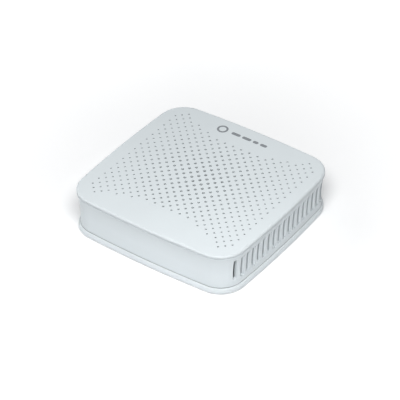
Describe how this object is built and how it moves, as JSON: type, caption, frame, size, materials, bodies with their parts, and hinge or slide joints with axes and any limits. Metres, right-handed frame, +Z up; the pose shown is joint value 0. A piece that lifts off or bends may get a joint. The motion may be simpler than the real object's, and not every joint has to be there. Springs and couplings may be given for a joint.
{
  "type": "optical network terminal",
  "caption": "Flat rounded-square desktop network terminal with a perforated top, slotted side walls, a thin base flange and a recessed row of rear ports.",
  "frame": {"origin": "centre of the case on the resting plane, at the underside of the rubber feet", "axes": "+Z up, +X to the right side with the vent slots seen from the plain front, +Y to the rear with the ports"},
  "size_m": [0.114, 0.11, 0.0277],
  "materials": {
    "case_white": "fine-textured moulded plastic",
    "panel_white": "fine-textured moulded plastic",
    "foot_rubber": "matte",
    "screw_steel": "zinc plated",
    "label_film": "satin film",
    "mark_ink": "printed",
    "board_green": "solder mask",
    "port_green": "moulded",
    "receptacle_steel": "turned",
    "can_gold": "plated",
    "contact_gold": "plated",
    "jack_nickel": "plated sheet",
    "jack_black": "moulded",
    "lamp_amber": "clear lens",
    "button_grey": "moulded",
    "lamp_clear": "clear lens",
    "guide_clear": "polished acrylic",
    "chip_black": "epoxy package",
    "pad_grey": "soft pad",
    "sink_aluminium": "extruded",
    "crystal_steel": "drawn can",
    "ferrite_grey": "ferrite",
    "sleeve_black": "shrink sleeve",
    "chip_ceramic": "fired"
  },
  "bodies": {
    "case": {"top_cover": "case_white", "side_frame": "case_white", "bottom_cover": "case_white", "rear_panel": "panel_white", "rubber_feet": "foot_rubber", "case_screws": "screw_steel", "board_screws": "screw_steel", "rating_label": "label_film", "printed_mark": "mark_ink", "main_board": "board_green", "optical_port_shell": "port_green", "ferrule_receptacle": "receptacle_steel", "transceiver_body": "receptacle_steel", "laser_can": "can_gold", "receiver_can": "can_gold", "transceiver_leads": "contact_gold", "optics_shield": "jack_nickel", "lan_jack_shield_1": "jack_nickel", "lan_jack_shield_2": "jack_nickel", "lan_jack_insert_1": "jack_black", "lan_jack_insert_2": "jack_black", "lan_jack_contacts_1": "contact_gold", "lan_jack_contacts_2": "contact_gold", "lan_jack_lamps": "lamp_amber", "dc_jack_body": "jack_black", "dc_jack_pin": "jack_nickel", "dc_jack_spring": "jack_nickel", "power_switch_body": "jack_black", "reset_switch_body": "jack_black", "status_lamps": "lamp_clear", "light_guide": "guide_clear", "processor": "chip_black", "thermal_pad": "pad_grey", "heat_sink": "sink_aluminium", "memory_chip": "chip_black", "flash_chip": "chip_black", "power_regulator": "chip_black", "clock_crystal": "crystal_steel", "lan_transformers": "chip_black", "power_inductors": "ferrite_grey", "electrolytic_capacitors": "sleeve_black", "chip_passives": "chip_ceramic"},
    "power_button": {"power_button": "button_grey"},
    "reset_plunger": {"reset_plunger": "button_grey"}
  },
  "joints": [
    {"name": "power_button_push", "type": "slide", "parent": "case", "child": "power_button", "axis": [0, -1, 0], "range_m": [0, 0.0025], "stiffness_N_per_m": 400},
    {"name": "reset_push", "type": "slide", "parent": "case", "child": "reset_plunger", "axis": [0, -1, 0], "range_m": [0, 0.0003], "stiffness_N_per_m": 600}
  ]
}
